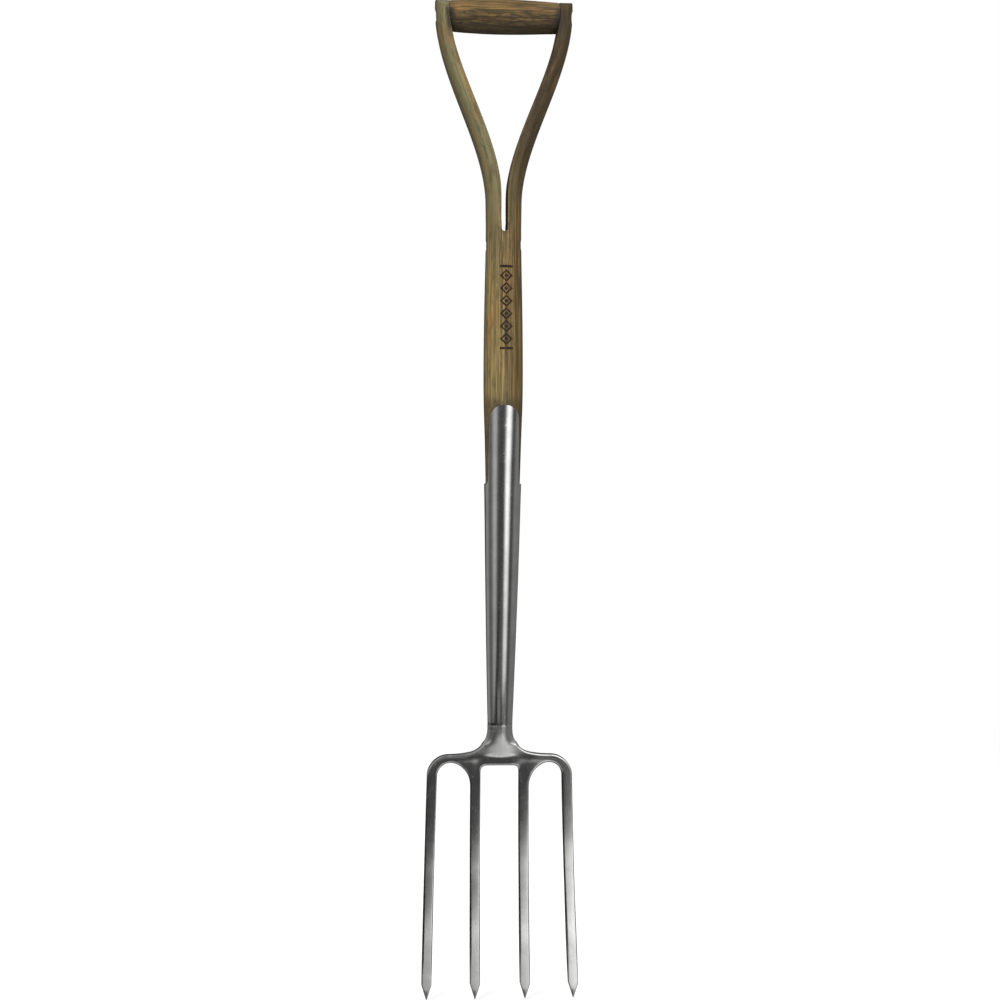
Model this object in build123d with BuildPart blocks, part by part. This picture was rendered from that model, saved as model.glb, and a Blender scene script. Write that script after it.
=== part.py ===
"""Digging fork with a split ash handle, a strapped tube socket and a forged four-tine head.

Frame: millimetres, +Z up the handle, Z = 0 at the level of the tine points,
X across the tines, and the hollow front of the tines towards -Y.  The origin is
under the middle of the fork's width and depth, so the straight upper handle
stands a little in front of it and the neck a little behind it.
"""

import os
from math import sqrt

from build123d import *

os.makedirs("parts", exist_ok=True)

# ---------------------------------------------------------------- driving dimensions
FIT_GAP = 0.05  # play between two pieces that touch

# centre line of the handle, seen from the side
HANDLE_Y = -11.4  # straight upper handle
NECK_HEIGHT = 262  # where the head's neck starts
NECK_SET_BACK = 32  # neck behind the upper handle
NECK_LEAN = 0.10  # forward slope of the neck, per millimetre of height
BEND_TOP = 600  # straight and upright above this height

# ash handle, as (height, radius): its tapered lower end, and the round part above the clip seat
WOOD_TAPER = ((330, 12.7), (420, 15.0), (515, 17.0), (560, 18.15), (BEND_TOP, 19.4))
CLIP_RADIUS = 19.5  # a true cylinder between BEND_TOP and CLIP_TOP, for a tool clip
CLIP_TOP = 650
UPPER_TAPER = ((CLIP_TOP, CLIP_RADIUS), (700, 18.8), (745, 17.9), (768, 17.7))

# the two arms of the split
SPLIT_HEIGHT = UPPER_TAPER[-1][0]  # centre of the rounded end of the split
SPLIT_RADIUS = 2.9
SPLIT_SAWN = 40  # parallel part of the split
SPREAD_START = 794  # arms are parallel below this and again near the top
SPREAD_END = 990
ARM_SPREAD = 51.9  # sideways travel of an arm over that height
ARM_TOP = 1004  # before the crown is rounded off
ARM_SECTIONS = 9
ARM_THICKNESS_LOW = 14.9
ARM_THICKNESS_TOP = 12.9
ARM_SWELL = 2.1  # extra thickness halfway up
ARM_EDGE_LOW = 2.5  # easing of the two inner edges
ARM_EDGE_TOP = 4.5
ARM_EDGE_MIDDLE = (0.36, 0.54)  # middle of the eased corner, as shares of the easing

# grip between the arms
GRIP_HEIGHT = 981.5
GRIP_END_RADIUS = 15.2
GRIP_MID_RADIUS = 17.1
GRIP_LENGTH = 109.6
SHOULDER_GAP = 0.3  # around the grip's ends, in the arms
SPIGOT_RADIUS = 8  # turned ends that enter the arms
SPIGOT_LENGTH = 8

# rivets across the fork: height, rod radius, washer radius, washer seat from the middle
CROSS_RIVETS = {
    "grip_rivet": (GRIP_HEIGHT, 3, 6.5, 65.4),
    "throat_rivet": (753, 2.5, 5.5, 14.9),
}
WASHER_THICKNESS = 1.4
RIVET_HEAD_HEIGHT = 0.9
RIVET_HEAD_RIM = 1.6  # how far a peened head covers its washer
RIVET_HEAD_CHAMFER = 0.5

# socket, rolled from sheet, with a front and a rear strap
SHEET = 1.4
SOCKET_BOTTOM = 275
SOCKET_FOOT_BORE = 11.05  # bore radius at the bottom end
SOCKET_MOUTH = 516  # top of the closed tube
STRAP_TOP = 593
STRAP_HALF_WIDTH = 14.4  # near the top of a strap
STRAP_FOOT_HALF_WIDTH = 15.2  # where it leaves the closed tube
STRAP_CORNER = 11

# rivets front to back through the straps: height, and where each head starts from the middle
STRAP_RIVETS = {"upper_strap_rivet": (576, 18.9), "lower_strap_rivet": (541, 17.9)}
STRAP_RIVET_RADIUS = 2.5
STRAP_RIVET_HEAD_RADIUS = 4.2

# forged head: neck, web and four tines
NECK_SECTIONS = ((243, 19, 5.5), (254, 17, 8.5), (262, 13.7, 11), (271, 12.5, 12.5))  # height, half sizes
STUB_RADIUS = 10.4  # stub that enters the socket tube
STUB_TOP = 312
WEB_CROWN = 257  # top of the web, under the neck
CROWN_CORNER = (16.5, 255)  # where the web's top edge meets the neck
CROWN_SLOPE = 1.3  # steepness of the edge there
WEB_SWEEP = (30, 246.2)  # on the hollow top edge between shoulder and neck
SHOULDER_TOP = 244
SHOULDER_RADIUS = 22
CENTRE_OPENING_TOP = 233
CENTRE_OPENING_CORNER = 6
OUTER_OPENING_TOP = 236
OUTER_OPENING_CREST = 49.5  # from the middle of the fork
OUTER_OPENING_SWEEP = (34.8, 227.5)  # on the long curve up from the inner tine
TINE_WIDTH = 10
POINT_LENGTH = 16
INNER_TINE = (24.4, 25.1)  # distance from the middle at the web and at the point
OUTER_TINE = (68.3, 73.7)
TINE_ROOT_HEIGHT = 211
ROOT_DEPTH = 12.5  # front to back at the web
POINT_DEPTH = 7.5  # front to back where the point starts
TIP_SET_BACK = 22  # points behind the upper handle
TIP_FLAT = 1  # front to back at the very point
TINE_SAG = 9  # hollow of the front over the length of a tine
TINE_EDGE = 1.2  # rounding of the long edges
LONG_EDGE = 100  # only edges longer than this are rounded


# ---------------------------------------------------------------- shared geometry
def centre_plane(height):
    """Plane square to the handle's bent centre line where it passes this height."""
    rise = BEND_TOP - NECK_HEIGHT
    fullness = 2 * NECK_SET_BACK - NECK_LEAN * rise
    t = min(1, (height - NECK_HEIGHT) / rise)
    set_back = (1 - t) ** 2 * (NECK_SET_BACK + fullness * t)
    slope = (1 - t) * ((1 - t) * fullness - 2 * (NECK_SET_BACK + fullness * t)) / rise
    return Plane(origin=(0, HANDLE_Y + set_back, height), x_dir=(1, 0, 0), z_dir=(0, slope, 1))


def across(point):
    """The matching point on the other side of a section's middle."""
    return (point[0], -point[1])


def round_taper(stations, extra=0):
    """Solid lofted through circles at the given (height, radius) stations."""
    with BuildPart() as taper:
        for height, radius in stations:
            with BuildSketch(centre_plane(height)):
                Circle(radius + extra)
        loft()
    return taper.part


def cross_cylinder(height, radius, reach):
    """Cylinder along X, reaching the same distance on both sides of the middle."""
    with BuildPart() as bar:
        with BuildSketch(Plane.YZ):
            with Locations((HANDLE_Y, height)):
                Circle(radius)
        extrude(amount=reach, both=True)
    return bar.part


def side_discs(height, radius, start, thickness):
    """Two discs square to X, one on each side of the middle."""
    with BuildPart() as discs:
        with BuildSketch(Plane.YZ.offset(start)):
            with Locations((HANDLE_Y, height)):
                Circle(radius)
        extrude(amount=thickness)
        mirror(about=Plane.YZ)
    return discs.part


def strap_rivet_blank(height, seat, gap=0):
    """Rivet front to back with a countersunk head in each strap; the heads run long."""
    head_run = 2
    end = seat + SHEET + head_run
    flare = (STRAP_RIVET_HEAD_RADIUS - STRAP_RIVET_RADIUS) / SHEET
    shank = STRAP_RIVET_RADIUS + gap
    head = shank + flare * (SHEET + head_run)
    middle = centre_plane(height).origin
    with BuildPart() as blank:
        with BuildSketch(Plane(origin=middle, x_dir=(0, 1, 0), z_dir=(1, 0, 0))):
            with BuildLine():
                Polyline((0, 0), (0, shank), (seat, shank), (end, head), (end, 0), close=True)
            make_face()
        revolve(axis=Axis(middle, (0, 1, 0)))
        mirror(about=Plane.XZ.offset(-middle.Y))
    return blank.part


# ---------------------------------------------------------------- socket
bore_stations = ((SOCKET_BOTTOM, SOCKET_FOOT_BORE), *WOOD_TAPER)
socket_skin = round_taper(bore_stations, extra=FIT_GAP + SHEET)
front_to_back = 2 * (CLIP_RADIUS + NECK_SET_BACK)

with BuildPart() as socket:
    add(socket_skin)
    add(round_taper(bore_stations, extra=FIT_GAP), mode=Mode.SUBTRACT)
    # closed tube below the mouth, and above it a strap in front and one behind
    with BuildSketch(Plane.XZ) as socket_front:
        with BuildLine():
            tube_half_width = CLIP_RADIUS + SHEET
            Polyline(
                (0, SOCKET_BOTTOM - NECK_SET_BACK),
                (tube_half_width, SOCKET_BOTTOM - NECK_SET_BACK),
                (tube_half_width, SOCKET_MOUTH),
                (STRAP_FOOT_HALF_WIDTH, SOCKET_MOUTH),
                (STRAP_HALF_WIDTH, STRAP_TOP),
                (0, STRAP_TOP),
                close=True,
            )
        make_face()
        mirror(about=Plane.YZ)
        fillet(socket_front.vertices().group_by(Axis.Y)[-1], STRAP_CORNER)
    extrude(amount=front_to_back, both=True, mode=Mode.INTERSECT)
    for height, seat in STRAP_RIVETS.values():
        add(strap_rivet_blank(height, seat, gap=FIT_GAP), mode=Mode.SUBTRACT)

socket.part.label = "socket"
export_step(socket.part, "parts/socket.step")

# ---------------------------------------------------------------- rivets through the straps
for name, (height, seat) in STRAP_RIVETS.items():
    with BuildPart() as strap_rivet:
        add(strap_rivet_blank(height, seat))
        # the heads are ground flush with the straps
        add(socket_skin, mode=Mode.INTERSECT)
    strap_rivet.part.label = name
    export_step(strap_rivet.part, f"parts/{name}.step")

# ---------------------------------------------------------------- one arm, on the +X side
first_radius = UPPER_TAPER[-1][1]
first_offset = first_radius - ARM_THICKNESS_LOW / 2
with BuildPart() as arm:
    for station in range(ARM_SECTIONS):
        # place on the arm's curved centre line
        t = station / (ARM_SECTIONS - 1)
        height = SPLIT_HEIGHT + t * (ARM_TOP - SPLIT_HEIGHT)
        spread = min(1, max(0, (height - SPREAD_START) / (SPREAD_END - SPREAD_START)))
        offset = first_offset + ARM_SPREAD * spread**2 * (3 - 2 * spread)
        slope = 6 * spread * (1 - spread) * ARM_SPREAD / (SPREAD_END - SPREAD_START)
        # half-round section, flat towards the other arm, with both flat edges eased
        thickness = ARM_THICKNESS_LOW + (ARM_THICKNESS_TOP - ARM_THICKNESS_LOW) * t
        thickness += 4 * ARM_SWELL * t * (1 - t)
        radius = first_radius + (GRIP_END_RADIUS - first_radius) * t
        flat = -thickness / 2
        half_depth = sqrt(radius**2 - (radius - thickness) ** 2)
        edge = ARM_EDGE_LOW + (ARM_EDGE_TOP - ARM_EDGE_LOW) * t
        flat_end = (flat, half_depth - edge)
        eased = (flat + ARM_EDGE_MIDDLE[0] * edge, flat_end[1] + ARM_EDGE_MIDDLE[1] * edge)
        round_end = (flat + edge, sqrt(radius**2 - (radius - thickness + edge) ** 2))
        section_plane = Plane(
            origin=(offset, HANDLE_Y, height), x_dir=(1, 0, -slope), z_dir=(slope, 0, 1)
        )
        with BuildSketch(section_plane):
            with BuildLine():
                Line(across(flat_end), flat_end)
                ThreePointArc(flat_end, eased, round_end)
                ThreePointArc(round_end, (thickness / 2, 0), across(round_end))
                ThreePointArc(across(round_end), across(eased), across(flat_end))
            make_face()
    loft()

# ---------------------------------------------------------------- ash handle
# waste above the grip's axis, outside the round crown of each arm
crown_reach = 2 * GRIP_END_RADIUS
with BuildPart() as crown_waste:
    with BuildSketch(Plane.YZ):
        with Locations((HANDLE_Y, GRIP_HEIGHT)):
            Rectangle(2 * crown_reach, crown_reach, align=(Align.CENTER, Align.MIN))
            Circle(GRIP_END_RADIUS, mode=Mode.SUBTRACT)
    extrude(amount=2 * ARM_SPREAD, both=True)

with BuildPart() as ash_handle:
    add(round_taper(WOOD_TAPER))
    # upright seat for a tool clip
    with BuildSketch(centre_plane(BEND_TOP)):
        Circle(CLIP_RADIUS)
    extrude(amount=CLIP_TOP - BEND_TOP)
    add(round_taper(UPPER_TAPER))
    add(arm.part)
    add(mirror(arm.part, about=Plane.YZ, mode=Mode.PRIVATE))
    add(crown_waste.part, mode=Mode.SUBTRACT)
    # round-ended start of the split, front to back
    with BuildSketch(Plane.XZ):
        with Locations((0, SPLIT_HEIGHT)):
            Circle(SPLIT_RADIUS)
            Rectangle(2 * SPLIT_RADIUS, SPLIT_SAWN, align=(Align.CENTER, Align.MIN))
    extrude(amount=2 * CLIP_RADIUS, both=True, mode=Mode.SUBTRACT)
    # housings for the grip's shoulders and spigots
    shoulder_reach = GRIP_LENGTH / 2
    spigot_reach = shoulder_reach + SPIGOT_LENGTH + FIT_GAP
    add(cross_cylinder(GRIP_HEIGHT, GRIP_END_RADIUS + SHOULDER_GAP, shoulder_reach), mode=Mode.SUBTRACT)
    add(cross_cylinder(GRIP_HEIGHT, SPIGOT_RADIUS + FIT_GAP, spigot_reach), mode=Mode.SUBTRACT)
    # rivet holes, with a pocket for each washer
    for height, rod, washer, seat in CROSS_RIVETS.values():
        add(cross_cylinder(height, rod + FIT_GAP, 2 * ARM_SPREAD), mode=Mode.SUBTRACT)
        add(side_discs(height, washer + FIT_GAP, seat, CLIP_RADIUS), mode=Mode.SUBTRACT)
    with BuildSketch(Plane.XZ):
        for height, seat in STRAP_RIVETS.values():
            with Locations((0, height)):
                Circle(STRAP_RIVET_RADIUS + FIT_GAP)
    extrude(amount=front_to_back, both=True, mode=Mode.SUBTRACT)

ash_handle.part.label = "ash_handle"
export_step(ash_handle.part, "parts/ash_handle.step")

# ---------------------------------------------------------------- grip
grip_half = GRIP_LENGTH / 2 - FIT_GAP
spigot_end = grip_half + SPIGOT_LENGTH
grip_middle = (0, HANDLE_Y, GRIP_HEIGHT)
with BuildPart() as grip:
    with BuildSketch(Plane(origin=grip_middle, x_dir=(1, 0, 0), z_dir=(0, -1, 0))):
        with BuildLine():
            ThreePointArc(
                (-grip_half, GRIP_END_RADIUS), (0, GRIP_MID_RADIUS), (grip_half, GRIP_END_RADIUS)
            )
            Polyline(
                (grip_half, GRIP_END_RADIUS),
                (grip_half, SPIGOT_RADIUS),
                (spigot_end, SPIGOT_RADIUS),
                (spigot_end, 0),
                (-spigot_end, 0),
                (-spigot_end, SPIGOT_RADIUS),
                (-grip_half, SPIGOT_RADIUS),
                (-grip_half, GRIP_END_RADIUS),
            )
        make_face()
    revolve(axis=Axis(grip_middle, (1, 0, 0)))
    rivet_bore = CROSS_RIVETS["grip_rivet"][1] + FIT_GAP
    add(cross_cylinder(GRIP_HEIGHT, rivet_bore, 2 * ARM_SPREAD), mode=Mode.SUBTRACT)

grip.part.label = "grip"
export_step(grip.part, "parts/grip.step")

# ---------------------------------------------------------------- rivets across the fork
for name, (height, rod, washer, seat) in CROSS_RIVETS.items():
    head_seat = seat + WASHER_THICKNESS + 2 * FIT_GAP
    with BuildPart() as cross_rivet:
        add(cross_cylinder(height, rod, head_seat))
        add(side_discs(height, rod + RIVET_HEAD_RIM, head_seat, RIVET_HEAD_HEIGHT))
        end_faces = cross_rivet.faces().sort_by(Axis.X)
        chamfer((end_faces[0].edges(), end_faces[-1].edges()), RIVET_HEAD_CHAMFER)
    cross_rivet.part.label = name
    export_step(cross_rivet.part, f"parts/{name}.step")

    with BuildPart() as washers:
        add(side_discs(height, washer, seat + FIT_GAP, WASHER_THICKNESS))
        add(cross_cylinder(height, rod + FIT_GAP, 2 * ARM_SPREAD), mode=Mode.SUBTRACT)
    washers.part.label = f"{name}_washers"
    export_step(washers.part, f"parts/{name}_washers.step")

# ---------------------------------------------------------------- forged head
# front outline of the web and tines, right half
inner_root, inner_tip = INNER_TINE
outer_root, outer_tip = OUTER_TINE
half_tine = TINE_WIDTH / 2
shoulder_side = outer_root + half_tine
shoulder_centre = (shoulder_side - SHOULDER_RADIUS, SHOULDER_TOP - SHOULDER_RADIUS)
opening_side = outer_root - half_tine
corner = CENTRE_OPENING_CORNER

with BuildPart() as head:
    with BuildSketch(Plane.XZ) as head_front:
        with BuildLine():
            # centre opening, then the inner tine
            inside = inner_root - half_tine
            Line((0, CENTRE_OPENING_TOP), (inside - corner, CENTRE_OPENING_TOP))
            RadiusArc(
                (inside - corner, CENTRE_OPENING_TOP), (inside, CENTRE_OPENING_TOP - corner), corner
            )
            Polyline(
                (inside, CENTRE_OPENING_TOP - corner),
                (inner_tip - half_tine, POINT_LENGTH),
                (inner_tip, 0),
                (inner_tip + half_tine, POINT_LENGTH),
                (inner_root + half_tine, TINE_ROOT_HEIGHT),
            )
            # outer opening: a long curve up from the inner tine and a tight one down
            crest = (OUTER_OPENING_CREST, OUTER_OPENING_TOP)
            Spline(
                (inner_root + half_tine, TINE_ROOT_HEIGHT),
                OUTER_OPENING_SWEEP,
                crest,
                tangents=((0, 1), (1, 0)),
            )
            EllipticalCenterArc(
                (crest[0], shoulder_centre[1]),
                opening_side - crest[0],
                crest[1] - shoulder_centre[1],
                start_angle=0,
                arc_size=90,
            )
            # outer tine and shoulder
            Polyline(
                (opening_side, shoulder_centre[1]),
                (outer_tip - half_tine, POINT_LENGTH),
                (outer_tip, 0),
                (outer_tip + half_tine, POINT_LENGTH),
                (shoulder_side, shoulder_centre[1]),
            )
            CenterArc(shoulder_centre, SHOULDER_RADIUS, 0, 90)
            # sweep up to the neck
            Spline(
                (shoulder_centre[0], SHOULDER_TOP),
                WEB_SWEEP,
                CROWN_CORNER,
                tangents=((-1, 0), (-1, CROWN_SLOPE)),
            )
            Polyline(CROWN_CORNER, (0, WEB_CROWN), (0, CENTRE_OPENING_TOP))
        make_face()
        mirror(about=Plane.YZ)
    extrude(amount=front_to_back, both=True)
    # side outline: hollow in front, deep at the web and slim at the points
    with BuildSketch(Plane.YZ):
        with BuildLine():
            crown_y = centre_plane(WEB_CROWN).origin.Y
            tip_y = HANDLE_Y + TIP_SET_BACK
            middle_y = (crown_y + tip_y) / 2 + TINE_SAG
            middle_depth = (ROOT_DEPTH + POINT_DEPTH) / 2
            middle_height = WEB_CROWN / 2
            point_y = tip_y + POINT_LENGTH * 4 * TINE_SAG / WEB_CROWN
            sides = (-0.5, 0.5)
            front, back = [
                ThreePointArc(
                    (crown_y + side * ROOT_DEPTH, WEB_CROWN),
                    (middle_y + side * middle_depth, middle_height),
                    (point_y + side * POINT_DEPTH, POINT_LENGTH),
                )
                for side in sides
            ]
            Polyline(front @ 1, (tip_y - TIP_FLAT / 2, 0), (tip_y + TIP_FLAT / 2, 0), back @ 1)
            Line(back @ 0, front @ 0)
        make_face()
    extrude(amount=2 * outer_tip, both=True, mode=Mode.INTERSECT)
    # ease the four long edges of each tine
    curved_edges = head.edges().filter_by(GeomType.ELLIPSE)
    long_edges = curved_edges.filter_by(lambda edge: edge.length > LONG_EDGE)
    fillet(long_edges, TINE_EDGE)
    # round neck that grows out of the web, and the stub inside the socket
    for height, half_width, half_depth in NECK_SECTIONS:
        with BuildSketch(centre_plane(height)):
            Ellipse(half_width, half_depth)
    loft()
    neck_top = NECK_SECTIONS[-1][0]
    with BuildSketch(centre_plane(neck_top)):
        Circle(STUB_RADIUS)
    extrude(amount=STUB_TOP - neck_top)

head.part.label = "head"
export_step(head.part, "parts/head.step")

# ---------------------------------------------------------------- weld between neck and socket
with BuildPart() as neck_weld:
    with BuildSketch(centre_plane(neck_top + FIT_GAP)):
        Circle(NECK_SECTIONS[-1][1])
        Circle(STUB_RADIUS + FIT_GAP, mode=Mode.SUBTRACT)
    extrude(amount=SOCKET_BOTTOM - neck_top - 2 * FIT_GAP)

neck_weld.part.label = "neck_weld"
export_step(neck_weld.part, "parts/neck_weld.step")
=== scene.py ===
import math

import bpy
import numpy as np
from mathutils import Matrix, Vector


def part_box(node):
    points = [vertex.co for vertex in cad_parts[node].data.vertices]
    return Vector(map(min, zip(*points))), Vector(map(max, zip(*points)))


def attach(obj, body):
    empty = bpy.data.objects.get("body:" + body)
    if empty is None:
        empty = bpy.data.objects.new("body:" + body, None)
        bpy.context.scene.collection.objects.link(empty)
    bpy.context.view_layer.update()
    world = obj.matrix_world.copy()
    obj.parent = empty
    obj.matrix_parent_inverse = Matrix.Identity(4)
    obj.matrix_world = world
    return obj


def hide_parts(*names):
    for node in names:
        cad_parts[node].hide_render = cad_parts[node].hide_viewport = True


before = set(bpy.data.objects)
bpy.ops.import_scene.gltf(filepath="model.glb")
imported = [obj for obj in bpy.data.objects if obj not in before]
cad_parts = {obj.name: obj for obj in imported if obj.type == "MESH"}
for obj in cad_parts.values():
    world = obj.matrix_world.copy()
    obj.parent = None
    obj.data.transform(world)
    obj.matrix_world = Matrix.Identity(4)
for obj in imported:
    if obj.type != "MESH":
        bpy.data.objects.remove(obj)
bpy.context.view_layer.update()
bpy.context.scene.view_settings.view_transform = "Standard"

# Digging fork.  All shapes are worked out in millimetres and scaled by MM when
# they become Blender meshes.  +Z runs up the handle, X across the tines and -Y
# towards the hollow front of the tines.
MM = 0.001


def extent(node):
    """Lowest and highest corner of a CAD node, in millimetres."""
    low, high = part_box(node)
    return np.array(low) / MM, np.array(high) / MM


def middle(node):
    """Centre of a CAD node's box, in millimetres."""
    low, high = extent(node)
    return (low + high) / 2


# ---------------------------------------------------------------- shared sizes
HANDLE_Y = middle("grip")[1]
GRIP_HEIGHT = middle("grip")[2]
GRIP_RADIUS = (extent("grip")[1][2] - extent("grip")[0][2]) / 2
GRIP_END_RADIUS = GRIP_RADIUS - 1.9
SPIGOT_END = extent("grip")[1][0]
SPIGOT_RADIUS = 8
EDGE_EASE = 0.35  # rounding of the barrel's ends
SHOULDER = SPIGOT_END - 8  # where the barrel of the grip ends and a spigot starts

NECK_HEIGHT = 262
NECK_SET_BACK = 32
NECK_LEAN = 0.10
BEND_TOP = 600

WOOD_FOOT = 330
SHAFT = ((WOOD_FOOT, 12.7), (420, 15.0), (515, 17.0), (560, 18.15), (600, 19.4), (650, 19.5),
         (700, 18.8), (745, 17.9), (768, 17.7), (800, 17.7))
SPLIT_HEIGHT = 768
SPLIT_RADIUS = 2.9
ARMS_SEPARATE = 778  # the round shaft has turned into two half-round arms here
SPREAD_START = 794
SPREAD_END = 990
ARM_SPREAD = 51.9
ARM_ROOT = 10.25  # from the middle to an arm's centre line where the split starts
ARM_TOP = 1004
ARM_THICKNESS = (14.9, 12.9)  # at the split and at the top
ARM_FULLNESS = 8.4  # how much thicker the arms are half way up
ARM_BACK = (17.7, 15.2)  # radius of an arm's round back, at the split and at the top

THROAT_HEIGHT = middle("throat_rivet")[2]
ROD_RADIUS = {"grip_rivet": 3, "throat_rivet": 2.5}
STRAP_ROD_RADIUS = 2.5
STRAP_HEAD_RADIUS = 4.2
STRAP_RIVETS = ("upper_strap_rivet", "lower_strap_rivet")

PLAY = 0.05  # gap that the CAD leaves between neighbouring pieces
SHEET = 1.4
SOCKET_FOOT = 275
SOCKET_BORE = ((SOCKET_FOOT, 11.05), *SHAFT[:5])
SOCKET_MOUTH = 516
STRAP_TOP = extent("socket")[1][2]
STRAP_HALF_WIDTH = (15.2, 14.4)
STRAP_CORNER = 13
MOUTH_FILLET = 5

TINE_TIP = extent("head")[1][0] - 5  # outer tine's point, from the middle
TINE_HALF = 5
WEB_CROWN = 257
WEB_TOP = 243  # where the neck starts to rise out of the web
POINT_LENGTH = 16
STUB_FOOT = 262
STUB_TOP = 312
STUB_RADIUS = 10.4
NECK_TOP = 271
NECK_TOP_RADIUS = 12.5
NECK_ROUND = ((NECK_TOP, NECK_TOP_RADIUS), (SOCKET_FOOT, 12.3))


# ---------------------------------------------------------------- small maths
def curve(place, stations):
    """Smooth curve through (place, value) stations, level beyond its ends."""
    places, values = np.array(stations, float).T
    slopes = np.gradient(values, places)
    i = np.clip(np.searchsorted(places, place) - 1, 0, len(places) - 2)
    step = places[i + 1] - places[i]
    t = np.clip((place - places[i]) / step, 0, 1)
    start = (1 + 2 * t) * (1 - t) ** 2 * values[i] + t * (1 - t) ** 2 * step * slopes[i]
    end = t * t * (3 - 2 * t) * values[i + 1] - t * t * (1 - t) * step * slopes[i + 1]
    return start + end


def fade(place, start, end):
    """0 before start, 1 after end, smooth between."""
    t = np.clip((place - start) / (end - start), 0, 1)
    return t * t * (3 - 2 * t)


def both(a, b, round_off):
    """Signed distance to the overlap of two solids, with its edge rounded off."""
    corner = np.hypot(np.maximum(a + round_off, 0), np.maximum(b + round_off, 0))
    return np.minimum(np.maximum(a, b), -round_off) + corner


def joined(a, b, blend):
    """Signed distance to two solids that run into each other with a hollow of size blend."""
    h = np.maximum(blend - np.abs(a - b), 0) / blend
    return np.minimum(a, b) - h * h * blend / 4


def centre_y(height):
    """Where the bent centre line of the handle is at this height."""
    rise = BEND_TOP - NECK_HEIGHT
    fullness = 2 * NECK_SET_BACK - NECK_LEAN * rise
    t = np.minimum(1, (height - NECK_HEIGHT) / rise)
    return HANDLE_Y + (1 - t) ** 2 * (NECK_SET_BACK + fullness * t)


def centre_slope(height):
    """How steeply the handle's centre line leans back at this height."""
    rise = BEND_TOP - NECK_HEIGHT
    fullness = 2 * NECK_SET_BACK - NECK_LEAN * rise
    t = np.minimum(1, (height - NECK_HEIGHT) / rise)
    return (1 - t) * ((1 - t) * fullness - 2 * (NECK_SET_BACK + fullness * t)) / rise


def off_centre(x, y, z):
    """Distance from the handle's bent centre line."""
    return np.hypot(x, (y - centre_y(z)) / np.sqrt(1 + centre_slope(z) ** 2))


def sheet_radius(height):
    """Radius of the socket's outside at this height."""
    return curve(height, SOCKET_BORE) + PLAY + SHEET


def above_section(y, z, height):
    """Distance above the plane square to the centre line at this height."""
    slope = centre_slope(height)
    run = (y - centre_y(height)) * slope + (z - height)
    return run / math.sqrt(1 + slope * slope)


def arm_line(height):
    """How far an arm's centre line is from the middle, and how steeply it leans out."""
    spread = np.clip((height - SPREAD_START) / (SPREAD_END - SPREAD_START), 0, 1)
    offset = ARM_ROOT + ARM_SPREAD * spread**2 * (3 - 2 * spread)
    slope = 6 * spread * (1 - spread) * ARM_SPREAD / (SPREAD_END - SPREAD_START)
    return offset, slope


def arm_place(side, z):
    """Height on an arm's centre line nearest a point, and how far out the point is from it."""
    at = np.array(z, float)
    for _ in range(3):
        offset, slope = arm_line(at)
        at = at + ((side - offset) * slope + (z - at)) / (1 + slope**2)
    offset, slope = arm_line(at)
    return at, ((side - offset) - slope * (z - at)) / np.sqrt(1 + slope**2)


# ---------------------------------------------------------------- meshes
def make_object(name, points, faces, smooth=True):
    """Mesh object from points in millimetres."""
    mesh = bpy.data.meshes.new(name)
    points = np.asarray(points, float) * MM
    if isinstance(faces, np.ndarray):
        faces = faces.tolist()
    mesh.from_pydata(points.tolist(), [], faces)
    mesh.polygons.foreach_set("use_smooth", [smooth] * len(mesh.polygons))
    mesh.update()
    obj = bpy.data.objects.new(name, mesh)
    bpy.context.scene.collection.objects.link(obj)
    return obj


def add_vectors(obj, name, values):
    """Stores one vector per point, for the materials to read."""
    layer = obj.data.attributes.new(name, "FLOAT_VECTOR", "POINT")
    layer.data.foreach_set("vector", np.asarray(values, np.float32).ravel())


def add_values(obj, name, values):
    """Stores one number per point, for the materials to read."""
    layer = obj.data.attributes.new(name, "FLOAT", "POINT")
    layer.data.foreach_set("value", np.asarray(values, np.float32).ravel())


def grade(*stretches):
    """Grid lines along one axis, from (start, end, spacing) stretches that follow on."""
    lines = []
    for start, end, spacing in stretches:
        count = max(1, round((end - start) / spacing))
        lines.extend(np.linspace(start, end, count, endpoint=False))
    lines.append(stretches[-1][1])
    return np.array(lines)


def gradient(field, points, reach):
    """Direction in which the field grows, at each point."""
    slope = np.empty_like(points)
    for axis in range(3):
        ahead = points.copy()
        ahead[:, axis] += reach
        behind = points.copy()
        behind[:, axis] -= reach
        slope[:, axis] = (field(*ahead.T) - field(*behind.T)) / (2 * reach)
    return slope


def net_points(solid, value, lines):
    """One point in each grid cell that the surface passes through, and the cell numbering."""
    corner = [slice(None, -1), slice(1, None)]
    count = np.zeros([len(line) - 1 for line in lines], np.int8)
    for dx in (0, 1):
        for dy in (0, 1):
            for dz in (0, 1):
                count += solid[corner[dx], corner[dy], corner[dz]]
    cells = np.argwhere((count > 0) & (count < 8))
    number = np.full(count.shape, -1, np.int32)
    number[tuple(cells.T)] = np.arange(len(cells))
    total = np.zeros((len(cells), 3))
    hits = np.zeros(len(cells))
    for axis in range(3):
        others = [a for a in range(3) if a != axis]
        for first in (0, 1):
            for second in (0, 1):
                start = cells.copy()
                start[:, others[0]] += first
                start[:, others[1]] += second
                end = start.copy()
                end[:, axis] += 1
                low = value[tuple(start.T)]
                high = value[tuple(end.T)]
                cut = (low < 0) != (high < 0)
                share = np.where(cut, low / np.where(cut, low - high, 1), 0)
                place = np.stack([lines[a][start[:, a]] for a in range(3)], 1)
                step = lines[axis][end[:, axis]] - lines[axis][start[:, axis]]
                place[:, axis] += share * step
                total += place * cut[:, None]
                hits += cut
    return total / hits[:, None], number


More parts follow.
